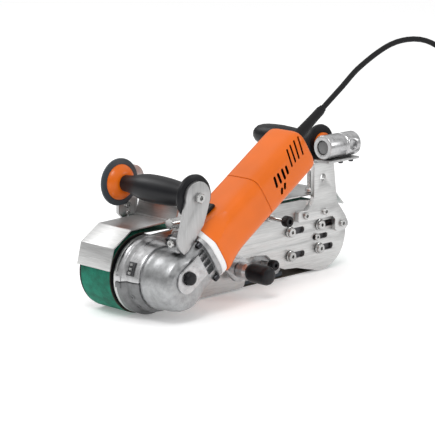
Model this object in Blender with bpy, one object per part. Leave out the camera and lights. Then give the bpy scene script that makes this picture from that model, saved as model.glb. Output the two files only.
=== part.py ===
"""Hand-held belt grinder: an angle-grinder motor drives a 50 mm belt round two rollers.

Frame: +X runs from the drive wheel to the rear roller, -Y is the motor side, +Z is up.
The belt runs on the plane y = 0 and the floor is z = 0.  Lengths below are millimetres,
measured from the point of the floor under the drive wheel's centre; ORIGIN then moves the
model's own origin to the middle of its footprint.
"""
import math
import bpy
import bmesh
from mathutils import Matrix, Vector
from mathutils.geometry import tessellate_polygon

MM = 0.001
GAP = 0.3                      # clearance left between neighbouring pieces
ORIGIN = Vector((148.75, -12.5, 0.0))

# Belt and rollers
BELT_HALF = 25.0               # half the belt width
BELT_T = 1.5
DRIVE_X, DRIVE_Z, DRIVE_R = 0.0, 47.0, 47.0     # outer radius includes the belt
IDLER_X, IDLER_Z, IDLER_R = 299.0, 44.0, 44.0
# Side plate
PLATE_IN, PLATE_OUT = -30.0, -34.0
SLOT_LEN = 22.0
SCREWS = ((241.0, 58.5), (242.0, 28.0), (295.0, 60.0), (294.0, 30.0))
# Motor
MOTOR_Y = -78.0                # plane that holds the motor axis
MOTOR_TILT = math.radians(33.2)
COLLAR_S, COLLAR_T = 47.0, 8.0
SEAM_S, MOTOR_END = 148.0, 238.0
NECK_POWER, BODY_POWER = 3.3, 5.5     # how square the section is: 2 is round
BUTTON_X, BUTTON_Z = -1.0, 54.5
SWITCH_S, SWITCH_Y = 88.0, 2.0
# Handles
HANDLE_X, HANDLE_Z = 19.5, 142.8
NEAR_Y, FAR_Y = -97.0, 34.5   # inner faces of the two handle brackets
CLAMP_Y, CLAMP_Z, CLAMP_R = -45.0, 159.5, 15.0
REAR_X, REAR_Z = 307.0, 160.0
SEG = 32


# ---------------------------------------------------------------- materials
def material(name, rgb, rough, metal):
    mat = bpy.data.materials.get(name) or bpy.data.materials.new(name)
    mat.use_nodes = True
    shader = mat.node_tree.nodes["Principled BSDF"]
    shader.inputs["Base Color"].default_value = (*rgb, 1.0)
    shader.inputs["Roughness"].default_value = rough
    shader.inputs["Metallic"].default_value = metal
    mat.diffuse_color = (*rgb, 1.0)
    return mat


PALETTE = {
    "stainless": ((0.62, 0.62, 0.61), 0.38, 1.0),
    "cast": ((0.55, 0.56, 0.57), 0.42, 1.0),
    "steel": ((0.60, 0.60, 0.61), 0.28, 1.0),
    "dark_steel": ((0.16, 0.16, 0.17), 0.40, 1.0),
    "orange": ((0.86, 0.20, 0.012), 0.42, 0.0),
    "black": ((0.012, 0.012, 0.013), 0.50, 0.0),
    "rubber": ((0.02, 0.02, 0.021), 0.75, 0.0),
    "abrasive": ((0.004, 0.20, 0.13), 0.85, 0.0),
    "graphite": ((0.05, 0.05, 0.055), 0.6, 0.0),
    "silver": ((0.78, 0.78, 0.78), 0.30, 1.0),
    "copper": ((0.55, 0.24, 0.12), 0.40, 1.0),
}


# ---------------------------------------------------------------- mesh tools
def add_node(name, verts, faces, kind, origin=(0, 0, 0), smooth=False):
    """One closed solid.  verts are world millimetres, origin is the node's own origin."""
    mesh = bpy.data.meshes.new(name)
    bm = bmesh.new()
    base = Vector(origin)
    made = [bm.verts.new((Vector(v) - base) * MM) for v in verts]
    for face in faces:
        bm.faces.new([made[i] for i in face])
    bmesh.ops.remove_doubles(bm, verts=bm.verts, dist=1e-7)
    bmesh.ops.recalc_face_normals(bm, faces=bm.faces)
    bm.to_mesh(mesh)
    bm.free()
    obj = bpy.data.objects.new(name, mesh)
    obj.location = (base - ORIGIN) * MM
    bpy.context.scene.collection.objects.link(obj)
    rgb, rough, metal = PALETTE[kind]
    mesh.materials.append(material(name + "_" + kind, rgb, rough, metal))
    if smooth:
        mesh.shade_smooth()
        mesh.set_sharp_from_angle(angle=math.radians(32))
    return obj


def rings_solid(rings, loop=False):
    """Faces over a chain of equal rings; a loop closes on itself, a chain gets end caps."""
    count = len(rings[0])
    verts = [p for ring in rings for p in ring]
    faces = []
    last = len(rings) if loop else len(rings) - 1
    for r in range(last):
        a, b = r * count, ((r + 1) % len(rings)) * count
        for i in range(count):
            j = (i + 1) % count
            faces.append((a + i, a + j, b + j, b + i))
    if not loop:
        faces.append(tuple(range(count)))
        faces.append(tuple(range(last * count, last * count + count)))
    return verts, faces


def axes_of(direction):
    d = Vector(direction).normalized()
    side = Vector((0, 1, 0)) if abs(d.y) < 0.9 else Vector((1, 0, 0))
    u = side.cross(d).normalized()
    return d, u, d.cross(u)


def lathe(name, centre, direction, profile, kind, loop=False, segs=SEG, origin=None, teeth=None):
    """Turn a profile of (radius, distance along the axis).  teeth scales every other flank."""
    d, u, v = axes_of(direction)
    c = Vector(centre)
    rings = []
    for radius, along in profile:
        ring = []
        for i in range(segs):
            a = 2 * math.pi * i / segs
            r = radius
            if teeth and radius > teeth[0] and i % 4 >= 2:
                r = radius - teeth[1]
            ring.append(c + d * along + (u * math.cos(a) + v * math.sin(a)) * r)
        rings.append(ring)
    verts, faces = rings_solid(rings, loop)
    return add_node(name, verts, faces, kind, origin or centre, smooth=True)


def shell_profile(inner, outer, start, end):
    return [(inner, start), (outer, start), (outer, end), (inner, end)]


def arc(cx, cz, r, a0, a1, n):
    return [(cx + r * math.cos(math.radians(a0 + (a1 - a0) * i / n)),
             cz + r * math.sin(math.radians(a0 + (a1 - a0) * i / n))) for i in range(n + 1)]


def hole(cx, cz, r, n=16):
    return arc(cx, cz, r, 0, 360, n)[:-1]


def slot_hole(cx, cz, r, length):
    return arc(cx + length, cz, r, -90, 90, 8) + arc(cx, cz, r, 90, 270, 8)


def place_uv(u, v, t, plane):
    return {"xz": (u, t, v), "xy": (u, v, t), "yz": (t, u, v)}[plane]


def slab(name, outline, t0, t1, plane, kind, holes=(), origin=(0, 0, 0)):
    """Flat plate: an outline with holes in one plane, given a thickness along the third axis."""
    loops = [list(outline)] + [list(h) for h in holes]
    flat = [p for loop in loops for p in loop]
    tris = tessellate_polygon([[Vector((p[0], p[1], 0)) for p in loop] for loop in loops])
    n = len(flat)
    verts = [place_uv(p[0], p[1], t0, plane) for p in flat]
    verts += [place_uv(p[0], p[1], t1, plane) for p in flat]
    faces = [tuple(t) for t in tris] + [tuple(i + n for i in reversed(t)) for t in tris]
    start = 0
    for loop in loops:
        m = len(loop)
        for i in range(m):
            a, b = start + i, start + (i + 1) % m
            faces.append((a, b, b + n, a + n))
        start += m
    return add_node(name, verts, faces, kind, origin)


def bent_strip(points, thick):
    """Outline of a sheet folded along a line of points; the sheet lies below the line."""
    pts = [Vector(p) for p in points]
    under = []
    for i, p in enumerate(pts):
        normals = []
        for a, b in ((i - 1, i), (i, i + 1)):
            if a >= 0 and b < len(pts):
                e = (pts[b] - pts[a]).normalized()
                normals.append(Vector((e.y, -e.x)))
        n = sum(normals, Vector((0, 0))).normalized()
        under.append(p + n * thick / n.dot(normals[0]))
    return [tuple(p) for p in pts] + [tuple(p) for p in reversed(under)]


# ---------------------------------------------------------------- motor axis
def motor_point(s, n=0.0, y=0.0):
    """Point at distance s along the motor axis, n across it in the x-z plane, y sideways."""
    c, k = math.cos(MOTOR_TILT), math.sin(MOTOR_TILT)
    return Vector((DRIVE_X + s * c - n * k, MOTOR_Y + y, DRIVE_Z + s * k + n * c))


MOTOR_DIR = (math.cos(MOTOR_TILT), 0.0, math.sin(MOTOR_TILT))


def squircle(s, half_n, half_y, power, segs=SEG, dn=0.0, dy=0.0):
    ring = []
    for i in range(segs):
        a = 2 * math.pi * (i + 0.5) / segs
        c, k = math.cos(a), math.sin(a)
        n = half_n * math.copysign(abs(c) ** (2 / power), c)
        y = half_y * math.copysign(abs(k) ** (2 / power), k)
        ring.append(motor_point(s, n + dn, y + dy))
    return ring


# ---------------------------------------------------------------- belt, rollers
def belt_path(offset, n=20):
    """Closed loop round both rollers, offset inwards from the outside of the belt."""
    rd, ri = DRIVE_R - offset, IDLER_R - offset
    dx, dz = IDLER_X - DRIVE_X, IDLER_Z - DRIVE_Z
    span = math.hypot(dx, dz)
    lean = math.degrees(math.asin((rd - ri) / span))
    slope = math.degrees(math.atan2(dz, dx))
    up, down = 90 - lean + slope, -90 + lean + slope
    front = arc(DRIVE_X, DRIVE_Z, rd, up, down + 360, n)
    rear = arc(IDLER_X, IDLER_Z, ri, down, up, n)
    return front + rear


def make_belt():
    outer, inner = belt_path(0.0), belt_path(BELT_T)
    rings = []
    for loop, y in ((outer, -BELT_HALF), (outer, BELT_HALF), (inner, BELT_HALF), (inner, -BELT_HALF)):
        rings.append([(x, y, z) for x, z in loop])
    verts, faces = rings_solid(rings, loop=True)
    add_node("abrasive_belt", verts, faces, "abrasive")


def make_rollers():
    drive, idler = (DRIVE_X, 0, DRIVE_Z), (IDLER_X, 0, IDLER_Z)
    tyre = DRIVE_R - BELT_T - GAP
    lathe("drive_wheel_tyre", drive, (0, 1, 0), shell_profile(tyre - 7, tyre, -24.5, 24.5),
          "rubber", loop=True, segs=48)
    rim = tyre - 7 - GAP
    lathe("drive_wheel", drive, (0, 1, 0),
          [(8.3, -24), (rim, -24), (rim, 24), (rim - 5, 24), (rim - 7, 6), (17, 4), (14, 22), (8.3, 22)],
          "cast", loop=True)
    lathe("output_spindle", drive, (0, 1, 0), [(8, -97), (8, 24.5)], "steel", segs=24)
    lathe("crown_gear", drive, (0, 1, 0), [(8.3, -66.2), (21, -66.2), (26, -62), (26, -58.5), (8.3, -58.5)],
          "dark_steel", loop=True, segs=72, teeth=(20, 1.6))
    rear = IDLER_R - BELT_T - GAP
    lathe("idler_roller", idler, (0, 1, 0),
          [(8.3, -24), (rear - 1, -24), (rear, -21), (rear, 21), (rear - 1, 24), (rear - 7, 24),
           (rear - 9, 17), (14, 17), (8.3, 19)], "cast", loop=True, segs=48)
    lathe("idler_axle", idler, (0, 1, 0), [(11, -25.4), (11, -24.4), (8, -24.4), (8, 21), (7, 22)],
          "steel", segs=24)


# ---------------------------------------------------------------- gear head
def add_bool(obj, cutter, operation):
    cutter.hide_render = True
    cutter.display_type = "WIRE"
    mod = obj.modifiers.new(cutter.name, "BOOLEAN")
    mod.operation = operation
    mod.object = cutter


def make_gear_head():
    spindle = (DRIVE_X, 0, DRIVE_Z)
    head = lathe("gear_head", spindle, (0, 1, 0),
                 [(22, -105.2), (27, -103.5), (31, -99), (33, -92), (33.6, -80), (35, -70), (35, -64.3),
                  (31, -64), (31, -34.5)], "cast", segs=40)
    lobe = [squircle(s, a, 18.6, 2.4, 40, dn=dn, dy=-7.4)
            for s, a, dn in ((2, 26, 0), (16, 30.0, -1.0), (40.9, 30.0, -0.5))]
    lobe += [squircle(s, 32, 32, NECK_POWER, 40) for s in (41.5, 46.7)]
    verts, faces = rings_solid(lobe)
    add_bool(head, add_node("neck_form", verts, faces, "cast"), "UNION")
    add_bool(head, lathe("gear_space", spindle, (0, 1, 0),
                         [(25, -98), (27, -90), (27, -57.5), (13, -57.5), (13, -30)], "cast", segs=36), "DIFFERENCE")
    add_bool(head, lathe("pinion_space", motor_point(0), MOTOR_DIR, [(12.5, 8), (12.5, 60)], "cast"),
             "DIFFERENCE")
    pocket = [motor_point(s, n) for s, n in ((29.5, -11), (40, -11), (40, 17), (29.5, 17))]
    add_bool(head, slab("side_pocket", [(p.x, p.z) for p in pocket], -112.0, -99.0, "xz", "cast"), "DIFFERENCE")
    add_bool(head, lathe("button_bore", (BUTTON_X, 0, BUTTON_Z), (0, 1, 0), [(7.8, -112), (7.8, -90)], "cast",
                         segs=24), "DIFFERENCE")
    band = [(28.5, 19.7), (28.5, -8.7)] + arc(-0.8, 5.5, 14.2, 270, 90, 12)
    pad = [(p.x, p.z) for p in (motor_point(s, n) for s, n in band)]
    slab("gear_head_cover", pad, -108.2, -105.5, "xz", "silver", holes=[hole(BUTTON_X, BUTTON_Z, 7.9)])
    lathe("spindle_lock_button", (BUTTON_X, -107, BUTTON_Z), (0, 1, 0), [(6.2, -6), (7.4, -4.6), (7.4, 6)],
          "black", segs=24)
    for i, (n, y) in enumerate(((25, -25), (-25, -25), (-25, 23.5), (25, 23.5))):
        lathe("head_screw_%d" % (i + 1), motor_point(40.7, n, y), MOTOR_DIR,
              [(3.1, -6), (3.5, -5.4), (3.5, 0)], "dark_steel", segs=12)


def make_hub_clamp():
    """Two half rings that grip the neck of the gear head, each with an ear at both ends."""
    section = ((31.3, -34.3), (45.6, -34.3), (45.6, -43.5), (40.6, -46), (40.2, -56), (38, -63.3), (31.3, -63.3))
    for name, sign in (("hub_clamp_upper", 1), ("hub_clamp_lower", -1)):
        rings = []
        for i in range(21):
            a = math.radians(0.8 + 178.4 * i / 20)
            x, z = math.cos(a), sign * math.sin(a)
            rings.append([(DRIVE_X + r * x, y, DRIVE_Z + r * z) for r, y in section])
        verts, faces = rings_solid(rings)
        half = add_node(name, verts, faces, "cast", smooth=True)
        for side in (-1, 1):
            near, far, low, high = side * 40.0, side * 48.0, sign * 0.6, sign * 7.5
            ear = [(DRIVE_X + x, DRIVE_Z + z) for x, z in ((near, low), (far, low), (far, high), (near, high))]
            add_bool(half, slab(name + "_ear", ear, -43.0, -34.6, "xz", "cast"), "UNION")


# ---------------------------------------------------------------- motor
def make_motor():
    s0, s1 = COLLAR_S, COLLAR_S + COLLAR_T
    ring = [squircle(s0, 26, 26, 2), squircle(s0, 33, 33, NECK_POWER), squircle(s1, 33, 33, NECK_POWER),
            squircle(s1, 26, 26, 2)]
    verts, faces = rings_solid(ring, loop=True)
    add_node("gear_collar", verts, faces, "silver", smooth=True)

    barrel = ((s1 + GAP, 33, NECK_POWER), (s1 + 7, 32.4, NECK_POWER + 0.2), (s1 + 20, 29.6, 4.2),
              (s1 + 37, 28.1, BODY_POWER), (SEAM_S - GAP, 28.1, BODY_POWER))
    outer = [squircle(s, a, a, p) for s, a, p in barrel]
    inner = [squircle(s, 24.8, 24.8, 2.2) for s, a, p in reversed(barrel)]
    verts, faces = rings_solid(outer + inner, loop=True)
    add_node("motor_housing_front", verts, faces, "orange", smooth=True)

    rear = ((SEAM_S, 28.1), (MOTOR_END - 24, 28.1), (MOTOR_END - 6, 27.8), (MOTOR_END - 1.5, 26.2),
            (MOTOR_END, 23.0))
    outer = [squircle(s, a, a, BODY_POWER) for s, a in rear]
    inner = [squircle(s, 24.8, 24.8, 2.2) for s in (MOTOR_END - 7, SEAM_S)]
    bore = [squircle(s, 6.2, 6.2, 2, dn=5) for s in (MOTOR_END, MOTOR_END - 7)]
    verts, faces = rings_solid(outer + bore + inner, loop=True)
    add_node("motor_housing_rear", verts, faces, "orange", smooth=True)

    lathe("field_core", motor_point(0), MOTOR_DIR, shell_profile(18.5, 24.4, 92, 140), "dark_steel", loop=True)
    lathe("armature", motor_point(0), MOTOR_DIR,
          [(4, 20), (4, 90), (17.5, 92), (17.5, 140), (9, 144), (9, 150), (12, 151), (12, 166), (5, 168),
           (5, 190)], "copper", segs=24)
    lathe("cooling_fan", motor_point(0), MOTOR_DIR,
          [(4.3, 68), (23, 68), (24.2, 70), (24.2, 78), (9, 78), (7, 84), (4.3, 84)], "black",
          loop=True, segs=48, teeth=(22, 3.0))
    lathe("pinion_gear", motor_point(0), MOTOR_DIR,
          [(4.3, 20), (8, 20), (10.4, 30), (10.4, 33), (4.3, 33)], "steel", loop=True, segs=24,
          teeth=(7, 1.2))
    make_slide_switch()


def make_slide_switch():
    """Sliding button standing on the upper flank of the motor; it travels along the motor."""
    rings = []
    for n, inset in ((29.4, 0.0), (32.6, 1.2)):
        s0, s1, half = SWITCH_S - 9 + inset, SWITCH_S + 9 - inset, 6.5 - inset
        rings.append([motor_point(s, n, SWITCH_Y + y) for s, y in
                      ((s0, -half), (s1, -half), (s1, half), (s0, half))])
    verts, faces = rings_solid(rings)
    add_node("slide_switch", verts, faces, "black", motor_point(SWITCH_S, 31, SWITCH_Y))


# ---------------------------------------------------------------- side plate and platen
def plate_outline():
    front = arc(DRIVE_X, DRIVE_Z, 45.5, 75, 262, 22)
    low = [(40, 2.6), (158, 2.6), (161, 5), (166, 24), (172, 33), (182, 38), (200, 36), (212, 26),
           (222, 17), (232, 13), (254, 11.2), (268, 7.5)]
    rear = arc(IDLER_X, 46.0, 44.5, -103, 72, 20)
    top = [(276, 93.5), (262, 95.6), (58, 95.6), (40, 92)]
    return front + low + rear + top


def make_side():
    holes = [hole(DRIVE_X, DRIVE_Z, 13.4, 20)]
    for x, z in SCREWS:
        holes.append(slot_hole(x - 3.4, z, 4.1, SLOT_LEN + 3.4))
    holes.append(slot_hole(286, 45, 3.4, 20.5))
    slab("near_side_plate", plate_outline(), PLATE_OUT, PLATE_IN, "xz", "stainless", holes=holes)
    carriage = arc(312, 62, 15, 0, 90, 6) + arc(246, 62, 13, 90, 180, 6) + arc(246, 25, 12, 180, 270, 6) \
        + arc(312, 25, 14, 270, 360, 6)
    slab("tension_carriage", carriage, -29.7, -25.8, "xz", "stainless", origin=(IDLER_X, 0, IDLER_Z))
    for i, (x, z) in enumerate(SCREWS):
        lathe("carriage_screw_%d" % (i + 1), (x, PLATE_OUT, z), (0, -1, 0),
              [(3.4, -4), (3.4, GAP), (6.8, GAP), (6.8, 1.6), (4.6, 1.7), (4.6, 4.6), (4.0, 5.2)],
              "steel", segs=20)
    lathe("tracking_screw", (289.5, PLATE_OUT, 45), (0, -1, 0), [(2.6, -4), (2.6, GAP), (4.3, GAP), (4.3, 2.6)],
          "steel", segs=16)
    body = [(62, 8.4), (224, 8.4), (229, 13), (229, 30), (218, 40), (72, 40), (62, 32)]
    slab("platen_block", body, -29.7, 20.0, "xz", "cast")
    under = [(x, BELT_T + GAP + lift) for x, lift in ((56, 2), (62, 0.1), (232, 0.1), (238, 1.5))]
    slab("platen_pad", under + [(238, 8.1), (56, 8.1)], -24.0, 24.0, "xz", "graphite")


def make_tension_lever():
    px, pz, ex, ez = 106.0, 58.0, 142.0, 30.0
    a = math.degrees(math.atan2(ez - pz, ex - px))
    outline = arc(px, pz, 10, a + 90, a + 270, 8) + arc(ex, ez, 15, a - 80, a + 80, 12)
    slab("tension_lever", outline, -46.0, -40.0, "xz", "cast", holes=[hole(px, pz, 5.3, 14)],
         origin=(px, -40, pz))
    lathe("lever_grip", (ex, -46.3, ez), (0, -1, 0),
          [(7, 0), (7, 16), (10, 18), (11.4, 22), (11.6, 42), (10.8, 47), (7, 49.5)], "black", segs=24,
          origin=(px, -40, pz))
    lathe("lever_pivot", (px, PLATE_OUT - GAP, pz), (0, -1, 0),
          [(8, 0), (8, 5.2), (5, 5.2), (5, 12.1), (8, 12.1), (7, 15.5)], "steel", segs=20)
    lathe("upper_lock_knob", (203, PLATE_OUT, 82.5), (0, -1, 0),
          [(5.0, GAP), (5.0, 5), (2.8, 5), (2.8, 27), (6.2, 27), (6.8, 28), (6.8, 35), (6, 36)],
          "black", segs=20)
    lathe("lower_lock_knob", (196, PLATE_IN, 27), (0, -1, 0),
          [(3, 0), (3, 15), (6.0, 15), (6.4, 16), (6.4, 23), (5.4, 24)], "black", segs=20)


# ---------------------------------------------------------------- guards
def make_guards():
    fold = [(-50, 57), (-43.4, 82.5), (-16, 100), (41, 101.5)]
    slab("front_guard", list(reversed(bent_strip(fold, 1.6))), -28.0, 28.0, "xz", "stainless")
    rear = [(202.5, 99.2), (322, 99.6), (331, 97), (347.5, 79)]
    outline = bent_strip(rear, 1.5)
    slab("rear_guard", list(reversed(outline)), -27.5, 28.0, "xz", "stainless")
    slab("belt_cover_plate", [(58, 96.0), (202, 96.0), (202, 98.6), (58, 98.6)], -33.0, 27.0, "xz", "stainless")


# ---------------------------------------------------------------- front handle
def make_front_handle():
    cx, cz, r = HANDLE_X, HANDLE_Z, 18.5
    near = arc(cx, cz, r, -20, 188, 18) + [(-11.5, 96), (-9, 87), (-3, 81), (4, 84.5), (17, 99)] \
        + [(27, 110), (32, 122)]
    slab("near_handle_bracket", near, NEAR_Y - 4.5, NEAR_Y, "xz", "stainless", holes=[hole(cx, cz, 4.6, 12)])
    lug = [(-11, 82.6), (-1, 82.8), (9, 91.2), (14, 94.8), (17, 101), (4, 103), (-8, 99)]
    boss = slab("bracket_lug", lug, NEAR_Y + GAP, NEAR_Y + 14, "xz", "cast")
    seat = (-10, NEAR_Y + 7, 93.5)
    add_bool(boss, lathe("bolt_bore", seat, (1, 0, 0), [(3.0, -6), (3.0, 12)], "cast", segs=16), "DIFFERENCE")
    lathe("bracket_bolt", seat, (1, 0, 0), [(4, -4.6), (4.6, -4), (4.6, -1.2), (2.7, -1.2), (2.7, 11)],
          "steel", segs=16)
    far = arc(44, 142, 17.5, -25, 100, 12) + arc(cx, cz, 15, 100, 215, 10) \
        + [(21, 122), (21, 104), (28, 97.4), (46, 96.6), (50, 101), (51, 118)]
    slab("far_handle_bracket", far, FAR_Y, FAR_Y + 4.5, "xz", "stainless",
         holes=[hole(cx, cz, 4.6, 12), hole(34.5, 103.6, 2.6, 12)])
    slab("handle_bridge", [(42.6, 98.9), (48.5, 98.9), (54.5, 117.5), (52.9, 118), (47.3, 101.6), (42.6, 101.6)],
         -34.0, FAR_Y - GAP, "xz", "stainless")
    axis, c = (0, 1, 0), (cx, 0, cz)
    lathe("front_grip", c, axis,
          [(4.6, NEAR_Y + GAP), (25, NEAR_Y + GAP), (26, -93.5), (25, -90), (14.5, -87.5), (12.9, -83), (14.6, -68),
           (16.2, -46), (16.3, -26), (14.4, -8), (10.4, 7), (9.8, 20), (4.6, 20)], "black", loop=True)
    lathe("front_cone", c, axis,
          [(4.6, 20.3), (12, 20.3), (18, 24), (21, 28), (21, 29.2), (4.6, 29.2)], "orange", loop=True)
    lathe("front_end_flange", c, axis,
          [(4.6, 29.5), (27, 29.5), (28, 30.5), (28, 32.5), (26, 34.2), (4.6, 34.2)], "graphite", loop=True)
    lathe("handle_bolt", c, axis,
          [(5, NEAR_Y - 9.5), (6.4, NEAR_Y - 8.8), (6.4, NEAR_Y - 4.8), (4.2, NEAR_Y - 4.8), (4.2, FAR_Y + 4.8),
           (7, FAR_Y + 4.8), (7, FAR_Y + 9)], "steel", segs=12)


# ---------------------------------------------------------------- rear handle
def make_rear_handle():
    foot = [(250, 83), (250, 69.5), (312, 69.5), (317.5, 65), (317.5, 52), (321, 48.5), (336, 48.5), (341.5, 53)] \
        + [(341.5, 58), (336.5, 67), (328, 78), (321, 86), (318.5, 101), (314, 134), (313, 141), (279, 141)] \
        + [(278, 138), (278, 98), (273, 88), (266, 83)]
    slab("rear_upright", foot, -40.0, PLATE_OUT - GAP, "xz", "stainless", holes=[hole(294, 121, 4.6, 12)])
    slab("clamp_strip", [(284, 141.3), (341, 141.3), (341, 144), (284, 144)], -58.0, -34.0, "xz", "stainless")
    r, bore, pivot = CLAMP_R, 9.0, (300, CLAMP_Y, CLAMP_Z)
    lathe("rear_clamp", (0, CLAMP_Y, CLAMP_Z), (1, 0, 0),
          [(bore, 287), (r - 0.6, 287), (r, 288), (r, 316), (r - 1.2, 317), (r - 1.2, 319), (r, 320), (r, 341),
           (r - 1, 342), (bore, 342)], "steel", loop=True, origin=pivot)
    lathe("clamp_rod", (0, CLAMP_Y, CLAMP_Z), (1, 0, 0),
          [(bore - 1.3, 288), (bore - GAP, 289), (bore - GAP, 341), (bore - 1.3, 342)],
          "dark_steel", segs=24, origin=pivot)
    axis, c = (0, 1, 0), (REAR_X, 0, REAR_Z)
    lathe("rear_handle_ring", c, axis, [(6, -29.6), (12.6, -29.6), (14, -28.4), (14, -25.6), (6, -25.6)],
          "orange", loop=True, origin=pivot)
    lathe("rear_grip", c, axis,
          [(17, -25.3), (22.6, -24.4), (24, -20.5), (22, -17), (14.5, -14), (13, -4), (14.5, 24), (15.5, 48),
           (14.7, 66), (13, 76), (10, 84), (5, 88)], "black", origin=pivot)


# ---------------------------------------------------------------- mains lead
CORD_R = 3.4
BOOT_S, BOOT_END, BOOT_N = 229.5, 302.0, 5.0
COIL_X, COIL_Y = 572.0, -92.0
COIL_IN, COIL_OUT, COIL_H = 31.0, 62.0, 22.0


def cord_points():
    """Route of the straight stretch: out of the boot, over, and down to the floor beside the coil."""
    start = motor_point(BOOT_END + GAP, BOOT_N)
    d = Vector(MOTOR_DIR)
    rest = ((378, -84, 286), (424, -95, 284), (466, -110, 252), (493, -126, 192), (507, -138, 122),
            (516, -148, 63), (529, -156, 22), (549, -159, 5.6), (572, -158.6, 3.7))
    return smooth_route([start, start + d * 40, start + d * 80] + [Vector(p) for p in rest], 16.0)


def smooth_route(knots, step):
    """Centripetal curve through the knots, resampled at an even step."""
    pts = [knots[0] * 2 - knots[1]] + knots + [knots[-1] * 2 - knots[-2]]
    fine = []
    for i in range(1, len(pts) - 2):
        p0, p1, p2, p3 = pts[i - 1:i + 3]
        t1 = (p1 - p0).length ** 0.5
        t2 = t1 + (p2 - p1).length ** 0.5
        t3 = t2 + (p3 - p2).length ** 0.5
        for k in range(24):
            t = t1 + (t2 - t1) * k / 24
            a1 = p0 * ((t1 - t) / t1) + p1 * (t / t1)
            a2 = p1 * ((t2 - t) / (t2 - t1)) + p2 * ((t - t1) / (t2 - t1))
            a3 = p2 * ((t3 - t) / (t3 - t2)) + p3 * ((t - t2) / (t3 - t2))
            b1 = a1 * ((t2 - t) / t2) + a2 * (t / t2)
            b2 = a2 * ((t3 - t) / (t3 - t1)) + a3 * ((t - t1) / (t3 - t1))
            fine.append(b1 * ((t2 - t) / (t2 - t1)) + b2 * ((t - t1) / (t2 - t1)))
    fine.append(knots[-1])
    out, run = [fine[0]], 0.0
    for a, b in zip(fine, fine[1:]):
        run += (b - a).length
        if run >= step:
            out.append(b)
            run = 0.0
    if (out[-1] - fine[-1]).length > step * 0.4:
        out.append(fine[-1])
    else:
        out[-1] = fine[-1]
    return out


def make_cord():
    lathe("cord_boot", motor_point(0, BOOT_N), MOTOR_DIR,
          [(5.8, BOOT_S), (5.8, MOTOR_END + GAP), (7.6, MOTOR_END + GAP), (7.0, 250), (5.6, 285), (4.8, BOOT_END)],
          "rubber", segs=20, origin=motor_point(BOOT_S, BOOT_N))
    curve = bpy.data.curves.new("mains_cord", "CURVE")
    curve.dimensions = "3D"
    curve.bevel_depth = CORD_R * MM
    curve.bevel_resolution = 2
    curve.use_fill_caps = True
    pts = cord_points()
    line = curve.splines.new("POLY")
    line.points.add(len(pts) - 1)
    for p, q in zip(line.points, pts):
        p.co = (*(q * MM), 1.0)
    rgb, rough, metal = PALETTE["rubber"]
    curve.materials.append(material("mains_cord_rubber", rgb, rough, metal))
    obj = bpy.data.objects.new("mains_cord", curve)
    obj.location = -ORIGIN * MM
    bpy.context.scene.collection.objects.link(obj)


def make_coil_and_plug():
    lathe("cord_coil", (COIL_X, COIL_Y, 0), (0, 0, 1),
          [(COIL_IN, 4), (COIL_IN + 4, 0.4), (COIL_OUT - 4, 0.4), (COIL_OUT, 4), (COIL_OUT, COIL_H - 4),
           (COIL_OUT - 4, COIL_H), (COIL_IN + 4, COIL_H), (COIL_IN, COIL_H - 4)], "rubber", loop=True)
    x, y, z = COIL_X - 20.0, COIL_Y + 42.0, COIL_H + 16.3
    plug = lathe("mains_plug", (x, y, z), (-1, 0, 0),
                 [(4.6, -30.4), (6.0, -22), (9, -19), (15, -14), (16, -8), (16, 11)], "black", segs=24)
    for side in (-9.5, 9.5):
        pin = lathe("plug_pin", (x, y + side, z), (-1, 0, 0), [(2.4, 5), (2.4, 26), (1.6, 28)], "steel", segs=12)
        add_bool(plug, pin, "UNION")


def main():
    for obj in list(bpy.data.objects):
        bpy.data.objects.remove(obj, do_unlink=True)
    make_belt()
    make_rollers()
    make_gear_head()
    make_hub_clamp()
    make_motor()
    make_side()
    make_tension_lever()
    make_guards()
    make_front_handle()
    make_rear_handle()
    make_cord()
    make_coil_and_plug()


main()
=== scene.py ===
"""Looks of the hand-held belt grinder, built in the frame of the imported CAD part.

Lengths are millimetres from the floor point under the drive wheel's centre, as in the CAD
source; at() turns them into the frame's metres.  x runs from the drive wheel to the rear
roller, y away from the motor, and z up.
"""
import math
import bpy
import bmesh
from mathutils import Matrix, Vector
from mathutils.geometry import tessellate_polygon


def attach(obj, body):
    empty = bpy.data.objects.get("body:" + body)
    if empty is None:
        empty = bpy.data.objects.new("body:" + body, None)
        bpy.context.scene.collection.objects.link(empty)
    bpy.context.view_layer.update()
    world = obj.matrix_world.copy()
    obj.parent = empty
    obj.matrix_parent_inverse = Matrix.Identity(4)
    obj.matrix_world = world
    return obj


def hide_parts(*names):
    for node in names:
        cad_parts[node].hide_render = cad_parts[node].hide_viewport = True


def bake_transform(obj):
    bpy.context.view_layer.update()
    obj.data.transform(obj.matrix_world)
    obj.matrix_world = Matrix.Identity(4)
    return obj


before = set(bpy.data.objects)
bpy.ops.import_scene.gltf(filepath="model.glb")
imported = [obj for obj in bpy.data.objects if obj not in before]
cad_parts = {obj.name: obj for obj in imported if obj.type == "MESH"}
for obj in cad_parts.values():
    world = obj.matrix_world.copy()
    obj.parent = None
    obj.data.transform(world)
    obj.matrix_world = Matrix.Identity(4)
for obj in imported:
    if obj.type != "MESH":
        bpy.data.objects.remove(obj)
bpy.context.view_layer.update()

# ---------------------------------------------------------------- shared sizes and directions
MM = 0.001
ORIGIN = Vector((148.75, -12.5, 0.0))   # where the frame's origin lies in the CAD source
ALONG = (1, 0, 0)
ACROSS = (0, 1, 0)
TO_MOTOR = (0, -1, 0)
UP = (0, 0, 1)

DRIVE_R = 47.0                          # drive wheel with its belt, so also the spindle's height
SPINDLE = (0, 0, DRIVE_R)
IDLER_X, IDLER_R = 299.0, 44.0          # rear roller with its belt, which also stands on the floor
IDLER = (IDLER_X, 0, IDLER_R)
PLATE_IN, PLATE_OUT = -30.0, -34.0      # the two faces of the side plate

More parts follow.
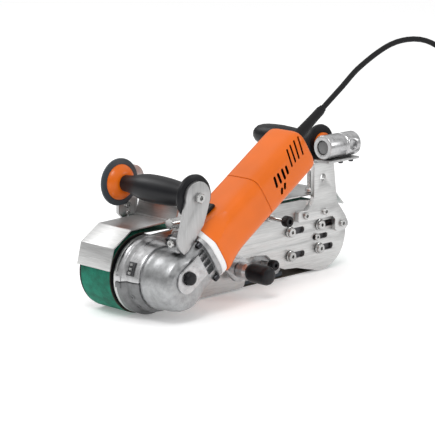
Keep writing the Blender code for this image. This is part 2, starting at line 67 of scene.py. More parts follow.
TILT = math.radians(33.2)               # motor axis above the floor
MOTOR_Y = -78.0
MOTOR_DIR = Vector((math.cos(TILT), 0.0, math.sin(TILT)))


def at(x, y, z):
    """A place in the CAD source's millimetres, in the frame's metres."""
    return (Vector((x, y, z)) - ORIGIN) * MM


def motor_point(along, over=0.0, side=0.0):
    """A place along the motor axis from the spindle, over the axis in the x-z plane, and sideways."""
    c, s = math.cos(TILT), math.sin(TILT)
    return Vector((along * c - over * s, MOTOR_Y + side, DRIVE_R + along * s + over * c))


# ---------------------------------------------------------------- camera
LENS_MM, SENSOR_MM = 160.1, 36.0
CAMERA_AT = (-1455.5, -1624.2, 572.5)
LOOK_AT = (149.46, 0.0, 85.5)


def make_camera():
    data = bpy.data.cameras.new("camera")
    data.lens, data.sensor_width, data.clip_end = LENS_MM, SENSOR_MM, 60.0
    cam = bpy.data.objects.new("camera", data)
    cam.location = at(*CAMERA_AT)
    look = at(*LOOK_AT) - cam.location
    cam.rotation_euler = look.to_track_quat("-Z", "Y").to_euler()
    bpy.context.scene.collection.objects.link(cam)
    bpy.context.scene.camera = cam


make_camera()


# ---------------------------------------------------------------- materials
class Nodes:
    """Small helper that wires a Principled material from object-space noises."""

    def __init__(self, name):
        self.mat = bpy.data.materials.new(name)
        self.mat.use_nodes = True
        self.tree = self.mat.node_tree
        self.shader = self.tree.nodes["Principled BSDF"]
        self.coord = self.tree.nodes.new("ShaderNodeTexCoord")

    def node(self, kind, **values):
        n = self.tree.nodes.new(kind)
        for key, value in values.items():
            if key in n.inputs:
                n.inputs[key].default_value = value
            else:
                setattr(n, key, value)
        return n

    def link(self, a, b):
        self.tree.links.new(a, b)

    def noise(self, scale, detail=3.0, rough=0.55, stretch=(1, 1, 1)):
        m = self.node("ShaderNodeMapping")
        m.inputs["Scale"].default_value = stretch
        self.link(self.coord.outputs["Object"], m.inputs["Vector"])
        n = self.node("ShaderNodeTexNoise", Scale=scale, Detail=detail, Roughness=rough)
        self.link(m.outputs["Vector"], n.inputs["Vector"])
        return n.outputs["Fac"]

    def add(self, a, b):
        m = self.node("ShaderNodeMath", operation="ADD")
        self.link(a, m.inputs[0])
        self.link(b, m.inputs[1])
        return m.outputs[0]

    def ramp(self, fac, stops):
        """Colour ramp with (place, rgb) stops."""
        r = self.node("ShaderNodeValToRGB")
        while len(r.color_ramp.elements) < len(stops):
            r.color_ramp.elements.new(0.5)
        for e, (place, rgb) in zip(r.color_ramp.elements, stops):
            e.position = place
            e.color = (*rgb, 1.0)
        self.link(fac, r.inputs["Fac"])
        return r.outputs["Color"]

    def span(self, fac, low, high, a=0.3, b=0.7):
        """Maps the range a to b onto low to high."""
        m = self.node("ShaderNodeMapRange")
        for key, value in (("From Min", a), ("From Max", b), ("To Min", low), ("To Max", high)):
            m.inputs[key].default_value = value
        self.link(fac, m.inputs["Value"])
        return m.outputs["Result"]

    def bump(self, height, strength, distance):
        b = self.node("ShaderNodeBump")
        b.inputs["Strength"].default_value = strength
        b.inputs["Distance"].default_value = distance
        self.link(height, b.inputs["Height"])
        return b.outputs["Normal"]

    def out(self, **sockets):
        """Sets or links the shader's sockets, whose names have underscores for spaces."""
        for key, value in sockets.items():
            socket = self.shader.inputs[key.replace("_", " ")]
            if hasattr(value, "is_output"):
                self.link(value, socket)
            else:
                socket.default_value = value
        return self.mat


def shade(rgb, k):
    return tuple(min(1.0, c * k) for c in rgb)


def brushed(name, rgb, rough, scale=(1, 60, 60)):
    """Sheet metal with streaks along the axis whose scale is 1."""
    n = Nodes(name)
    streak = n.noise(38.0, 4.0, 0.6, scale)
    broad = n.noise(42.0, 4.0, 0.65, tuple(k ** 0.75 for k in scale))
    tone = n.add(streak, broad)
    colour = n.ramp(n.span(tone, 0.0, 1.0, 0.7, 1.3),
                    ((0.0, shade(rgb, 0.78)), (1.0, shade(rgb, 1.15))))
    return n.out(Base_Color=colour, Metallic=1.0,
                 Roughness=n.span(tone, rough - 0.06, rough + 0.1, 0.75, 1.25),
                 Normal=n.bump(streak, 0.35, 0.00002))


def cast(name, rgb, rough, depth=0.00012):
    """Cast metal: fine grain over soft patches."""
    n = Nodes(name)
    grain = n.noise(520.0, 5.0, 0.7)
    patch = n.noise(130.0, 5.0, 0.7)
    colour = n.ramp(patch, ((0.3, shade(rgb, 0.72)), (0.7, shade(rgb, 1.2))))
    return n.out(Base_Color=colour, Metallic=1.0, Roughness=n.span(patch, rough - 0.07, rough + 0.1),
                 Normal=n.bump(grain, 0.45, depth))


def moulded(name, rgb, rough, grain=1400.0, depth=0.00005, spec=0.5):
    """Plastic, rubber or paint."""
    n = Nodes(name)
    fine = n.noise(grain, 3.0, 0.6)
    broad = n.noise(18.0, 2.0)
    colour = n.ramp(broad, ((0.3, shade(rgb, 0.92)), (0.7, shade(rgb, 1.06))))
    return n.out(Base_Color=colour, Roughness=n.span(broad, rough - 0.05, rough + 0.06),
                 Specular_IOR_Level=spec, Normal=n.bump(fine, 0.3, depth))


def turned(name, rgb, rough):
    """Turned or drawn metal."""
    n = Nodes(name)
    fine = n.noise(600.0, 3.0, 0.6)
    broad = n.noise(60.0, 2.0)
    colour = n.ramp(broad, ((0.3, shade(rgb, 0.85)), (0.7, shade(rgb, 1.1))))
    return n.out(Base_Color=colour, Metallic=1.0, Roughness=n.span(fine, rough - 0.05, rough + 0.08),
                 Normal=n.bump(fine, 0.2, 0.00002))


def grit(name, dark, middle, light):
    """Abrasive grain in three tones."""
    n = Nodes(name)
    fine = n.noise(2600.0, 2.0, 0.7)
    broad = n.noise(70.0, 3.0)
    colour = n.ramp(n.span(n.add(fine, broad), 0.0, 1.0, 0.7, 1.35),
                    ((0.0, dark), (0.5, middle), (1.0, light)))
    return n.out(Base_Color=colour, Roughness=0.8, Normal=n.bump(fine, 0.7, 0.0002))


# Each look is a material and the record's slot that it belongs to.
LOOKS = {
    "sheet": (brushed("sheet_steel", (0.60, 0.60, 0.595), 0.34), "stainless"),
    "guard": (brushed("guard_steel", (0.63, 0.63, 0.625), 0.36, (60, 1, 60)), "stainless"),
    "plate_rough": (brushed("bracket_steel", (0.47, 0.47, 0.47), 0.38, (60, 60, 1)), "stainless"),
    "cast": (cast("cast_aluminium", (0.38, 0.385, 0.39), 0.36, 0.0003), "cast"),
    "cast_smooth": (cast("clamp_aluminium", (0.50, 0.50, 0.505), 0.3, 0.00004), "cast"),
    "dark_cast": (cast("lower_clamp_aluminium", (0.20, 0.202, 0.205), 0.4), "cast"),
    "white": (moulded("collar_alloy", (0.80, 0.80, 0.80), 0.35), "silver"),
    "screw": (turned("screw_steel", (0.48, 0.48, 0.475), 0.22), "steel"),
    "black_screw": (turned("black_screw_steel", (0.05, 0.05, 0.055), 0.35), "dark_steel"),
    "dark": (cast("blackened_steel", (0.10, 0.10, 0.105), 0.45), "dark_steel"),
    "orange": (moulded("orange_plastic", (0.72, 0.135, 0.002), 0.34, spec=0.35), "orange"),
    "black": (moulded("grip_plastic", (0.006, 0.0062, 0.008), 0.40, 1800.0, 0.00008, 0.25), "black"),
    "rubber": (moulded("rubber", (0.007, 0.007, 0.008), 0.55, 900.0, 0.00008, 0.2), "rubber"),
    "graphite": (moulded("graphite_plate", (0.045, 0.055, 0.065), 0.45, spec=0.3), "graphite"),
    "copper": (turned("winding", (0.5, 0.2, 0.08), 0.4), "copper"),
    "belt": (grit("abrasive_green", (0.0, 0.055, 0.034), (0.0, 0.155, 0.096), (0.01, 0.26, 0.17)),
             "abrasive"),
    "cloth": (moulded("belt_cloth", (0.045, 0.035, 0.025), 0.8, 700.0, 0.0001), "abrasive"),
}


# ---------------------------------------------------------------- mesh tools
def raw(name, verts, faces):
    """An object from places in millimetres, with doubles merged and normals outward."""
    mesh = bpy.data.meshes.new(name)
    bm = bmesh.new()
    made = [bm.verts.new(at(*v)) for v in verts]
    for f in faces:
        bm.faces.new([made[i] for i in f])
    bmesh.ops.remove_doubles(bm, verts=bm.verts, dist=1e-7)
    bmesh.ops.recalc_face_normals(bm, faces=bm.faces)
    bm.to_mesh(mesh)
    bm.free()
    obj = bpy.data.objects.new(name, mesh)
    bpy.context.scene.collection.objects.link(obj)
    return obj


def bake(obj):
    """Turns the object's modifiers into plain mesh."""
    graph = bpy.context.evaluated_depsgraph_get()
    mesh = bpy.data.meshes.new_from_object(obj.evaluated_get(graph))
    obj.modifiers.clear()
    obj.data = mesh


def cut(obj, *cutters, operation="DIFFERENCE"):
    """Takes the cutters away from the object, or joins them to it, and removes them."""
    for c in cutters:
        mod = obj.modifiers.new("cut", "BOOLEAN")
        mod.operation, mod.object, mod.solver = operation, c, "EXACT"
    bake(obj)
    for c in cutters:
        bpy.data.objects.remove(c, do_unlink=True)
    return obj


def dress(obj, look, body="frame", node=None, bevel=0.0, angle=34.0):
    """Material, rounded edges and smoothing, the body the piece rides on and the node it replaces.
    """
    material, slot = LOOKS[look]
    obj.data.materials.clear()
    obj.data.materials.append(material)
    if bevel:
        mod = obj.modifiers.new("edge", "BEVEL")
        mod.width, mod.segments, mod.limit_method = bevel * MM, 2, "ANGLE"
        mod.angle_limit = math.radians(angle)
        mod.harden_normals = False
        bake(obj)
    obj.data.shade_smooth()
    obj.data.set_sharp_from_angle(angle=math.radians(angle))
    if body:
        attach(obj, body)
    if node:
        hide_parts(node)
    return obj


def rings(name, chain, loop=False):
    """Joins rings of equally many points; the ends are closed unless the chain is a loop."""
    count = len(chain[0])
    verts = [p for ring in chain for p in ring]
    faces = []
    for r in range(len(chain) if loop else len(chain) - 1):
        a, b = r * count, ((r + 1) % len(chain)) * count
        for i in range(count):
            j = (i + 1) % count
            faces.append((a + i, a + j, b + j, b + i))
    if not loop:
        faces.append(tuple(range(count)))
        faces.append(tuple(range((len(chain) - 1) * count, len(chain) * count)))
    return raw(name, verts, faces)


def axes_of(direction):
    """The direction as a unit vector, and two unit vectors square to it."""
    d = Vector(direction).normalized()
    side = Vector(ACROSS) if abs(d.y) < 0.9 else Vector(ALONG)
    u = side.cross(d).normalized()
    return d, u, d.cross(u)


def lathe(name, centre, direction, profile, loop=False, segs=64, wave=None):
    """Turned solid from (radius, along) pairs.  wave(angle, radius) may change the radius."""
    d, u, v = axes_of(direction)
    c = Vector(centre)
    chain = []
    for radius, along in profile:
        ring = []
        for i in range(segs):
            a = 2 * math.pi * i / segs
            r = wave(a, radius) if wave else radius
            ring.append(c + d * along + (u * math.cos(a) + v * math.sin(a)) * r)
        chain.append(ring)
    return rings(name, chain, loop)


def turn(name, centre, direction, profile, look, body="frame", node=None, bevel=0.0, **shape):
    """A turned piece, dressed."""
    return dress(lathe(name, centre, direction, profile, **shape), look, body, node, bevel)


def arc(cx, cz, r, a0, a1, n):
    """n + 1 points on an arc, from angle a0 to a1 in degrees."""
    return [(cx + r * math.cos(math.radians(a0 + (a1 - a0) * i / n)),
             cz + r * math.sin(math.radians(a0 + (a1 - a0) * i / n))) for i in range(n + 1)]


def hole(cx, cz, r):
    return arc(cx, cz, r, 0, 360, 32)[:-1]


def slot_hole(cx, cz, r, length):
    return arc(cx + length, cz, r, -90, 90, 14) + arc(cx, cz, r, 90, 270, 14)


def slab(name, outline, near, far, holes=()):
    """A solid with an (x, z) outline, between two planes across the tool."""
    loops = [list(outline)] + [list(h) for h in holes]
    flat = [p for loop in loops for p in loop]
    tris = tessellate_polygon([[Vector((x, z, 0)) for x, z in loop] for loop in loops])
    n = len(flat)
    verts = [(x, near, z) for x, z in flat] + [(x, far, z) for x, z in flat]
    faces = [tuple(t) for t in tris] + [tuple(i + n for i in reversed(t)) for t in tris]
    start = 0
    for loop in loops:
        m = len(loop)
        for i in range(m):
            a, b = start + i, start + (i + 1) % m
            faces.append((a, b, b + n, a + n))
        start += m
    return raw(name, verts, faces)


def plate(name, outline, near, far, look, body="frame", node=None, bevel=0.0, holes=()):
    """A slab, dressed."""
    return dress(slab(name, outline, near, far, holes), look, body, node, bevel)


def fillet(points, radius, n=5, closed=False):
    """Rounds the corners of a polyline with curves that start where an arc of the radius would."""
    pts = [Vector(p) for p in points]
    out = []
    count = len(pts)
    for i, p in enumerate(pts):
        if not closed and i in (0, count - 1):
            out.append(tuple(p))
            continue
        a, b = pts[i - 1], pts[(i + 1) % count]
        u, w = (a - p).normalized(), (b - p).normalized()
        half = u.angle(w) / 2
        reach = min(radius / math.tan(half), 0.45 * min((a - p).length, (b - p).length))
        if half > 1.55 or reach < 0.05:
            out.append(tuple(p))
            continue
        s, e = p + u * reach, p + w * reach
        for k in range(n + 1):
            t = k / n
            out.append(tuple(s * (1 - t) ** 2 + p * 2 * t * (1 - t) + e * t * t))
    return out


def bent_strip(points, thick):
    """Outline of a sheet folded along a line of points; the sheet lies below the line."""
    pts = [Vector(p) for p in points]
    under = []
    for i, p in enumerate(pts):
        normals = []
        for a, b in ((i - 1, i), (i, i + 1)):
            if a >= 0 and b < len(pts) and (pts[b] - pts[a]).length > 1e-6:
                e = (pts[b] - pts[a]).normalized()
                normals.append(Vector((e.y, -e.x)))
        n = sum(normals, Vector((0, 0))).normalized()
        under.append(p + n * thick / max(n.dot(normals[0]), 0.3))
    return [tuple(p) for p in pts + under[::-1]]


def squircle(along, half_over, half_side, power, segs=96, over=0.0, side=0.0):
    """A ring round the motor axis: a circle at power 2, and squarer above that."""
    ring = []
    for i in range(segs):
        a = 2 * math.pi * (i + 0.5) / segs
        c, s = math.cos(a), math.sin(a)
        n = half_over * math.copysign(abs(c) ** (2 / power), c)
        y = half_side * math.copysign(abs(s) ** (2 / power), s)
        ring.append(motor_point(along, n + over, y + side))
    return ring


ROUND = 48                              # sides of a round bolt head


def bolt_head(name, centre, direction, radius, height, look="screw", socket=0.0, sides=6):
    """Bolt head that stands on centre, with a socket in its top if that has a radius."""
    profile = [(radius * 0.93, 0), (radius, height * 0.12), (radius, height * 0.8), (radius * 0.88, height)]
    if socket:
        profile += [(socket, height), (socket * 0.9, height * 0.35)]
    head = lathe(name, centre, direction, profile, segs=sides)
    return dress(head, look, bevel=0.25 if sides == 6 else 0.0, angle=20)


def key_cut(screw, centre, direction, radius, start, end):
    """Cuts a hexagon socket into a screw."""
    return cut(screw, lathe("key", centre, direction, [(radius, start), (radius, end)], segs=6))


# ---------------------------------------------------------------- mains lead
CORD_R = 3.4
BOOT_END, BOOT_OVER = 302.0, 5.0        # end of the boot along the motor, and how far over its axis
COIL_X, COIL_Y, COIL_TOP = 572.0, -92.0, 22.0
COIL_R, TURN_GAP = 58.0, 7.7            # outermost turn, and from one turn to the next beside it
LAYERS, LAYER_TURNS = 3, 4
FIRST_Z, LAYER_GAP = 3.7, 7.1           # the lowest layer, and from one layer to the next
LEAD_IN_R = 66.6                        # where the lead reaches the coil
PLUG = (COIL_X - 20.0, COIL_Y + 42.0, COIL_TOP + 16.3)
PLUG_TAIL = 30.4                        # from the plug's middle to the end of its sleeve


def smooth_route(knots, step):
    """Centripetal curve through the knots, read at an even step."""
    pts = [knots[0] * 2 - knots[1]] + knots + [knots[-1] * 2 - knots[-2]]
    parts = 24
    fine = []
    for i in range(1, len(pts) - 2):
        p0, p1, p2, p3 = pts[i - 1:i + 3]
        t1 = (p1 - p0).length ** 0.5
        t2 = t1 + (p2 - p1).length ** 0.5
        t3 = t2 + (p3 - p2).length ** 0.5
        for k in range(parts):
            t = t1 + (t2 - t1) * k / parts
            a1 = p0 * ((t1 - t) / t1) + p1 * (t / t1)
            a2 = p1 * ((t2 - t) / (t2 - t1)) + p2 * ((t - t1) / (t2 - t1))
            a3 = p2 * ((t3 - t) / (t3 - t2)) + p3 * ((t - t2) / (t3 - t2))
            b1 = a1 * ((t2 - t) / t2) + a2 * (t / t2)
            b2 = a2 * ((t3 - t) / (t3 - t1)) + a3 * ((t - t1) / (t3 - t1))
            fine.append(b1 * ((t2 - t) / (t2 - t1)) + b2 * ((t - t1) / (t2 - t1)))
    fine.append(knots[-1])
    out, run = [fine[0]], 0.0
    for a, b in zip(fine, fine[1:]):
        run += (b - a).length
        if run >= step:
            out.append(b)
            run = 0.0
    if (out[-1] - fine[-1]).length > 0.1:
        out.append(fine[-1])
    return out


def ease(t):
    t = min(1.0, max(0.0, t))
    return t * t * (3 - 2 * t)


def coil_point(old, new, degrees, share):
    """A point of a turn, a share of the way from the old (radius, height) to the new one."""
    a = math.radians(degrees - 90)
    w = ease(share)
    r, z = old[0] + (new[0] - old[0]) * w, old[1] + (new[1] - old[1]) * w
    return Vector((COIL_X + r * math.cos(a), COIL_Y + r * math.sin(a), z))


def coil_points():
    """Layers of turns, wound inwards and outwards in alternation, then half a turn up to the plug."""
    rows = []
    for layer in range(LAYERS):
        radii = [COIL_R - TURN_GAP * k for k in range(LAYER_TURNS)]
        for r in reversed(radii) if layer % 2 else radii:
            rows.append((r, FIRST_Z + LAYER_GAP * layer))
    out = []
    last = (LEAD_IN_R, FIRST_Z)
    for row in rows:
        out += [coil_point(last, row, a, a / 360 / 0.28) for a in range(0, 360, 10)]
        last = row
    plug = (PLUG[1] - COIL_Y, PLUG[2])
    out += [coil_point(last, plug, a, a / 180) for a in range(0, 180, 10)]
    out.append(Vector(PLUG) + Vector((PLUG_TAIL + 0.2, 0, 0)))
    return out


def make_cord():
    start = motor_point(BOOT_END + 0.3, BOOT_OVER)
    route = ((378, -84, 286), (424, -95, 284), (466, -110, 252), (493, -126, 192), (507, -138, 122),
             (516, -148, 63), (529, -156, 22), (549, -159, 5.6), (572, -158.6, 3.7))
    knots = [start, start + MOTOR_DIR * 40, start + MOTOR_DIR * 80] + [Vector(p) for p in route]
    pts = smooth_route(knots, 8.0)[:-1] + coil_points()
    curve = bpy.data.curves.new("mains_lead", "CURVE")
    curve.dimensions = "3D"
    curve.bevel_depth = CORD_R * MM
    curve.bevel_resolution = 5
    curve.use_fill_caps = True
    line = curve.splines.new("POLY")
    line.points.add(len(pts) - 1)
    for p, q in zip(line.points, pts):
        p.co = (*at(*q), 1.0)
    line.use_smooth = True
    material, slot = LOOKS["rubber"]
    curve.materials.append(material)
    lead = bpy.data.objects.new("mains_lead", curve)
    bpy.context.scene.collection.objects.link(lead)
    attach(lead, "frame")
    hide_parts("mains_cord", "cord_coil")
    make_plug()


def make_plug():
    """Round plug with ribs for the fingers and two contact pins."""
    backwards = (-1, 0, 0)
    sleeve = [(4.6, -PLUG_TAIL), (5.4, -26), (6.0, -22), (9, -19), (13.5, -15.5), (15.2, -13), (15.9, -8)]
    ribs = [(15.9, -3), (14.6, -2), (14.6, -0.5), (15.9, 0.5), (15.9, 3), (14.6, 4), (14.6, 5.5),
            (15.9, 6.5), (15.9, 10), (15, 11)]
    plug = turn("plug_body", PLUG, backwards, sleeve + ribs, "black", node="mains_plug")
    for name, side in (("plug_pin_a", -9.5), ("plug_pin_b", 9.5)):
        pin = turn(name, (PLUG[0], PLUG[1] + side, PLUG[2]), backwards,
                   [(2.35, 10), (2.35, 26), (1.9, 27.4), (0.9, 28)], "screw", segs=24)
        pin.parent = plug
    return plug


make_cord()


# ---------------------------------------------------------------- belt, rollers, platen
BELT_HALF, BELT_THICK = 24.8, 1.5
ROLLER_GAP = 1.8                        # from the belt's outside down to a roller
AXLE_R = 8.0
BORE_R = AXLE_R + 0.3


def belt_path(depth, n=72):
    """The belt's line round both rollers, at a depth under its outside."""
    drive, idler = DRIVE_R - depth, IDLER_R - depth
    rise = IDLER_R - DRIVE_R
    lean = math.degrees(math.asin((drive - idler) / math.hypot(IDLER_X, rise)))
    slope = math.degrees(math.atan2(rise, IDLER_X))
    up, down = 90 - lean + slope, -90 + lean + slope
    return arc(0, DRIVE_R, drive, up, down + 360, n) + arc(IDLER_X, IDLER_R, idler, down, up, n)


def make_belt():
    """The band, round at both ends over the rollers: abrasive on its outside, cloth on its inside and edges.
    """
    outer, inner = belt_path(0.0), belt_path(BELT_THICK)
    corners = ((outer, -BELT_HALF), (outer, BELT_HALF), (inner, BELT_HALF), (inner, -BELT_HALF))
    chain = [[(x, y, z) for x, z in loop] for loop, y in corners]
    belt = dress(rings("belt_band", chain, loop=True), "belt", body=None, node="abrasive_belt")
    cloth, _ = LOOKS["cloth"]
    belt.data.materials.append(cloth)
    for i, face in enumerate(belt.data.polygons):
        face.material_index = int(i >= len(outer))
    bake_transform(belt)


def make_rollers():
    steps = 96
    tyre = DRIVE_R - ROLLER_GAP
    rim = tyre - 7.3

    def tread(angle, radius):
        """A shallow groove at every eighth step round the outside of the tyre."""
        grooved = radius > tyre - 1 and int(angle / (2 * math.pi) * steps) % 8 == 0
        return radius - 0.5 if grooved else radius

    turn("drive_tyre", SPINDLE, ACROSS, [(tyre - 7, -24.5), (tyre, -24.5), (tyre, 24.5), (tyre - 7, 24.5)],
         "rubber", "drive", "drive_wheel_tyre", 0.4, loop=True, segs=steps, wave=tread)
    turn("drive_side_ring", SPINDLE, ACROSS,
         [(38, 25.2), (46.0, 25.2), (46.4, 25.8), (46.4, 27.8), (45.6, 28.4), (38, 28.4)],
         "rubber", "drive", loop=True, segs=steps)
    wheel = lathe("drive_hub", SPINDLE, ACROSS,
                  [(BORE_R, -24), (rim, -24), (rim, 24), (rim - 5, 24), (rim - 7, 6), (17, 4), (14, 22),
                   (BORE_R, 22)], loop=True, segs=steps)
    holes = []
    for k in range(6):
        a = math.radians(60 * k)
        holes.append(lathe("hole", (25 * math.cos(a), 0, DRIVE_R + 25 * math.sin(a)), ACROSS,
                           [(4.5, -30), (4.5, 30)], segs=24))
    dress(cut(wheel, *holes), "cast_smooth", "drive", "drive_wheel", 0.5)
    turn("drive_spindle", SPINDLE, ACROSS, [(AXLE_R, -97), (AXLE_R, 23.7), (AXLE_R - 0.8, 24.5)],
         "screw", "drive", "output_spindle", segs=48)
    turn("drive_nut", (0, 24.6, DRIVE_R), ACROSS, [(11.5, 0), (13, 1), (13, 6), (11.5, 7)],
         "screw", "drive", segs=6)
    drum = IDLER_R - ROLLER_GAP
    turn("idler_drum", IDLER, ACROSS,
         [(BORE_R, -24), (drum - 1, -24), (drum, -21), (drum, 21), (drum - 1, 24), (drum - 7, 24),
          (drum - 9, 17), (14, 17), (BORE_R, 19)],
         "cast_smooth", "idler", "idler_roller", 0.4, loop=True, segs=steps)
    turn("idler_pin", IDLER, ACROSS,
         [(11, -25.4), (11, -24.4), (AXLE_R, -24.4), (AXLE_R, 21), (AXLE_R - 1, 22)],
         "screw", "carriage", "idler_axle", segs=48)


def make_platen():
    block = [(62, 8.4), (224, 8.4), (229, 13), (229, 30), (218, 40), (72, 40), (62, 32)]
    plate("platen", fillet(block, 3, closed=True), PLATE_IN + 0.3, 20.0, "cast", node="platen_block",
          bevel=0.8)
    sole = [(56, 3.8), (62, 1.9), (232, 1.9), (238, 3.3), (238, 8.1), (56, 8.1)]
    plate("platen_sole", sole, -24.0, 24.0, "graphite", node="platen_pad", bevel=0.3)


# ---------------------------------------------------------------- side plate and carriage
SLOT_SCREWS = ((241.0, 58.5), (242.0, 28.0), (295.0, 60.0), (294.0, 30.0))
SLOT_R, SLOT_LENGTH = 4.1, 25.4
TRACKING_SCREW = (289.5, 45.0)


def make_side():
    front = arc(0, DRIVE_R, 45.5, 75, 262, 60)
    rear = arc(IDLER_X, 46.0, 44.5, -103, 72, 48)
    low = [(40, 2.6), (158, 2.6), (161, 5), (166, 24), (172, 33), (182, 38), (200, 36), (212, 26),
           (222, 17), (232, 13), (254, 11.2), (268, 7.5)]
    top = [(276, 93.5), (262, 95.6), (58, 95.6), (40, 92)]
    outline = front + fillet([front[-1]] + low + [rear[0]], 6)[1:-1] + rear + top
    slots = [slot_hole(x - 3.4, z, SLOT_R, SLOT_LENGTH) for x, z in SLOT_SCREWS]
    tracking = slot_hole(TRACKING_SCREW[0] - 3.5, TRACKING_SCREW[1], 3.4, 20.5)
    plate("side_plate", outline, PLATE_OUT, PLATE_IN, "sheet", node="near_side_plate", bevel=0.35,
          holes=[hole(0, DRIVE_R, 13.4)] + slots + [tracking])


def make_carriage():
    corners = ((312, 62, 15, 0), (246, 62, 13, 90), (246, 25, 12, 180), (312, 25, 14, 270))
    outline = [p for x, z, r, a in corners for p in arc(x, z, r, a, a + 90, 12)]
    plate("carriage_plate", outline, PLATE_IN + 0.3, -25.8, "dark", "carriage", "tension_carriage", 0.3)
    for i, (x, z) in enumerate(SLOT_SCREWS, 1):
        screw = lathe(f"slot_screw_{i}", (x, PLATE_OUT, z), TO_MOTOR,
                      [(3.4, -4), (3.4, 0.3), (6.8, 0.3), (7.1, 0.6), (7.1, 1.3), (6.1, 1.6), (6.0, 4.3),
                       (5.3, 5.2), (2.5, 5.2)], segs=48)
        key_cut(screw, (x, PLATE_OUT - 6, z), ACROSS, 2.3, 0, 4)
        dress(screw, "screw", "carriage", f"carriage_screw_{i}", 0.15, 28)
    x, z = TRACKING_SCREW
    head = lathe("tracking_head", (x, PLATE_OUT, z), TO_MOTOR,
                 [(2.6, -4), (2.6, 0.3), (4.3, 0.3), (4.3, 2.2), (3.8, 2.9)], segs=40)
    key_cut(head, (x, PLATE_OUT - 4, z), ACROSS, 1.9, 0, 3)
    dress(head, "screw", "carriage", "tracking_screw", 0.15, 28)


# ---------------------------------------------------------------- lever and knobs
LEVER_X, LEVER_Z = 106.0, 58.0          # the lever's pivot
GRIP_X, GRIP_Z = 142.0, 30.0            # its handle
LEVER_OUT = -46.0                       # outer face of its arm


def knurl(angle, radius):
    """Eighteen grips round a knob's rim."""
    return radius - 0.5 if radius > 6.3 and math.cos(18 * angle) < 0 else radius


def make_lever():
    a = math.degrees(math.atan2(GRIP_Z - LEVER_Z, GRIP_X - LEVER_X))
    arm = arc(LEVER_X, LEVER_Z, 10, a + 90, a + 270, 24) + arc(GRIP_X, GRIP_Z, 15, a - 80, a + 80, 32)
    plate("lever_arm", arm, LEVER_OUT, LEVER_OUT + 6, "cast_smooth", "lever", "tension_lever", 1.0,
          holes=[hole(LEVER_X, LEVER_Z, 5.3)])
    foot = (GRIP_X, LEVER_OUT - 0.3, GRIP_Z)
    turn("lever_handle", foot, TO_MOTOR,
         [(6.6, 15.2), (8.2, 15.6), (10, 17.4), (11.2, 20.5), (11.5, 24), (11.6, 42), (11.3, 45.5),
          (10.2, 48), (8, 49.3), (4, 49.6)], "black", "lever", "lever_grip")
    turn("lever_boss", foot, TO_MOTOR, [(8.2, 0), (9.6, 0.8), (9.6, 11), (8.4, 12.6), (6.6, 15)],
         "cast_smooth", "lever")
    turn("lever_hub", (LEVER_X, PLATE_OUT - 0.3, LEVER_Z), TO_MOTOR,
         [(8, 0), (8, 5.2), (5, 5.2), (5, 12.1), (8, 12.1), (8, 14.6), (7, 15.5), (3, 15.5), (2.6, 13)],
         "screw", node="lever_pivot", bevel=0.2, segs=48)


def make_knobs():
    upper, lower = (203, PLATE_OUT, 82.5), (196, PLATE_IN, 27)
    turn("upper_knob_head", upper, TO_MOTOR,
         [(2.8, 26), (6.2, 27), (6.8, 28), (6.8, 35), (6, 36), (3, 36), (2.6, 33)],
         "black", "upper_knob", "upper_lock_knob", segs=72, wave=knurl)
    turn("upper_knob_stem", upper, TO_MOTOR,
         [(5.0, 0.3), (5.2, 0.8), (5.2, 4.4), (4.6, 5), (2.8, 5), (2.8, 26)], "screw", "upper_knob", segs=40)
    turn("lower_knob_head", lower, TO_MOTOR,
         [(2.8, 14), (6.0, 15), (6.4, 16), (6.4, 23), (5.4, 24), (2.6, 24), (2.4, 21)],
         "black", "lower_knob", "lower_lock_knob", segs=72, wave=knurl)
    turn("lower_knob_stem", lower, TO_MOTOR, [(3, 0), (3, 14)], "screw", "lower_knob", segs=32)


# ---------------------------------------------------------------- guards
def make_guards():
    front = fillet([(-50, 57), (-43.4, 82.5), (-16, 100), (41, 101.5)], 3.0, 6)
    plate("front_hood", bent_strip(front, 1.6)[::-1], -28.0, 28.0, "guard", node="front_guard", bevel=0.3)
    rear = fillet([(202.5, 99.2), (322, 99.6), (331, 97), (347.5, 79)], 3.0, 5)
    plate("rear_hood", bent_strip(rear, 1.5)[::-1], -27.5, 28.0, "guard", node="rear_guard", bevel=0.3)
    plate("belt_cover", [(58, 96.0), (202, 96.0), (202, 98.6), (58, 98.6)], -33.0, 27.0, "guard",
          node="belt_cover_plate", bevel=0.3)


# ---------------------------------------------------------------- front handle
HANDLE_X, HANDLE_Z = 19.5, 142.8        # the handle's axis, which runs across the tool
NEAR, FAR, BRACKET = -97.0, 34.5, 4.5   # inner faces of the two brackets, and their thickness


